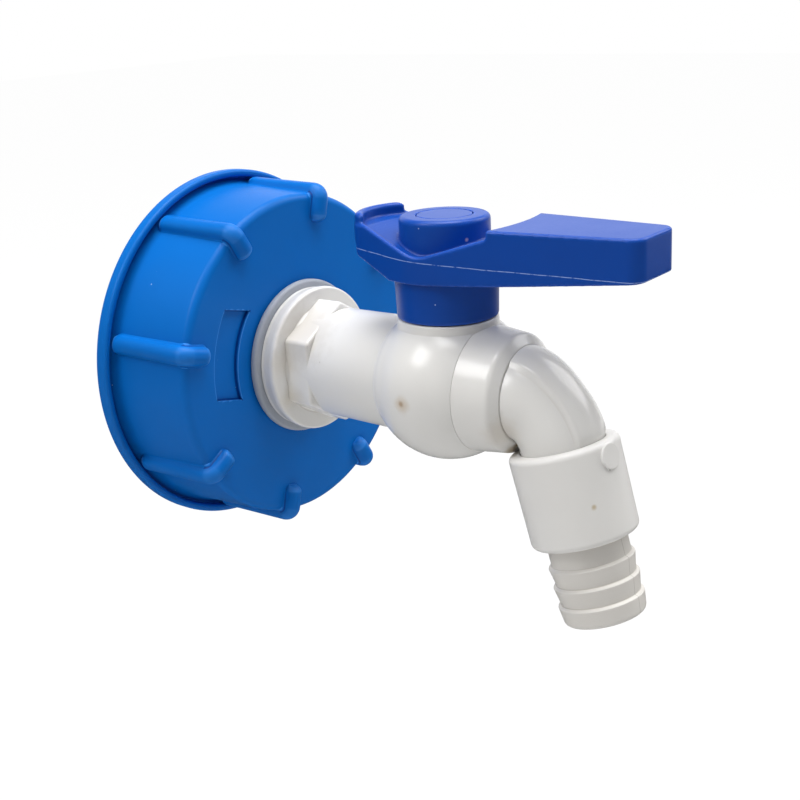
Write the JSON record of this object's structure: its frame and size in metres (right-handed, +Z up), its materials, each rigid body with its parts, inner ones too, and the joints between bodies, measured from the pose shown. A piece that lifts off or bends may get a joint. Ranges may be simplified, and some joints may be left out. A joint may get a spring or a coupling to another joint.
{
  "type": "ibc tank valve",
  "caption": "Tank adapter valve: ribbed screw cap with coarse inside thread, ball tap with quarter-turn lever, bent swivel spout, collar nut and barbed hose tail.",
  "frame": {"origin": "centre of the cap's open mouth, in the plane of its rim face", "axes": "+X along the flow, out of the tank and through the tap; +Z up, towards the lever; +Y to the left of the flow"},
  "size_m": [0.1151, 0.084, 0.0892],
  "materials": {
    "cap": "moulded, slightly glossy blue",
    "cap_gasket": "matt black rubber",
    "flange_washer": "pale bluish grey, satin",
    "valve_body": "glossy off-white",
    "seat_inlet": "smooth white",
    "seat_outlet": "smooth white",
    "ball": "polished white",
    "stem": "off-white",
    "stem_thrust_washer": "smooth white",
    "stem_o_ring_lower": "black rubber",
    "stem_o_ring_upper": "black rubber",
    "end_piece": "glossy off-white",
    "end_piece_o_ring": "black rubber",
    "elbow": "glossy off-white, slightly warmer",
    "elbow_o_ring": "black rubber",
    "collar_nut": "off-white, satin",
    "hose_tail": "off-white, satin",
    "hose_tail_washer": "dark grey rubber",
    "handle": "dark blue, satin",
    "handle_screw": "plain steel",
    "handle_plug": "dark blue, satin"
  },
  "bodies": {
    "tank_side": {"cap": "cap", "cap_gasket": "cap_gasket", "flange_washer": "flange_washer", "valve_body": "valve_body", "seat_inlet": "seat_inlet", "seat_outlet": "seat_outlet", "stem_thrust_washer": "stem_thrust_washer", "end_piece": "end_piece", "end_piece_o_ring": "end_piece_o_ring"},
    "lever": {"handle": "handle", "handle_screw": "handle_screw", "handle_plug": "handle_plug", "stem": "stem", "stem_o_ring_lower": "stem_o_ring_lower", "stem_o_ring_upper": "stem_o_ring_upper", "ball": "ball"},
    "spout": {"elbow": "elbow", "elbow_o_ring": "elbow_o_ring"},
    "collar": {"collar_nut": "collar_nut"},
    "tail": {"hose_tail": "hose_tail", "hose_tail_washer": "hose_tail_washer"}
  },
  "joints": [
    {"name": "lever_turn", "type": "hinge", "parent": "tank_side", "child": "lever", "pos_m": [0.06675, 0, 0.025], "axis": [0, 0, 1], "range_deg": [-2.6, 87.4]},
    {"name": "spout_swivel", "type": "hinge", "parent": "tank_side", "child": "spout", "pos_m": [0.0874, 0, 0], "axis": [1, 0, 0], "range_deg": [-90, 90]},
    {"name": "collar_turn", "type": "hinge", "parent": "spout", "child": "collar", "pos_m": [0.09468, 0, -0.00925], "axis": [0.2689, 0, -0.9632], "continuous": true},
    {"name": "tail_turn", "type": "hinge", "parent": "spout", "child": "tail", "pos_m": [0.09468, 0, -0.00925], "axis": [0.2689, 0, -0.9632], "continuous": true}
  ]
}
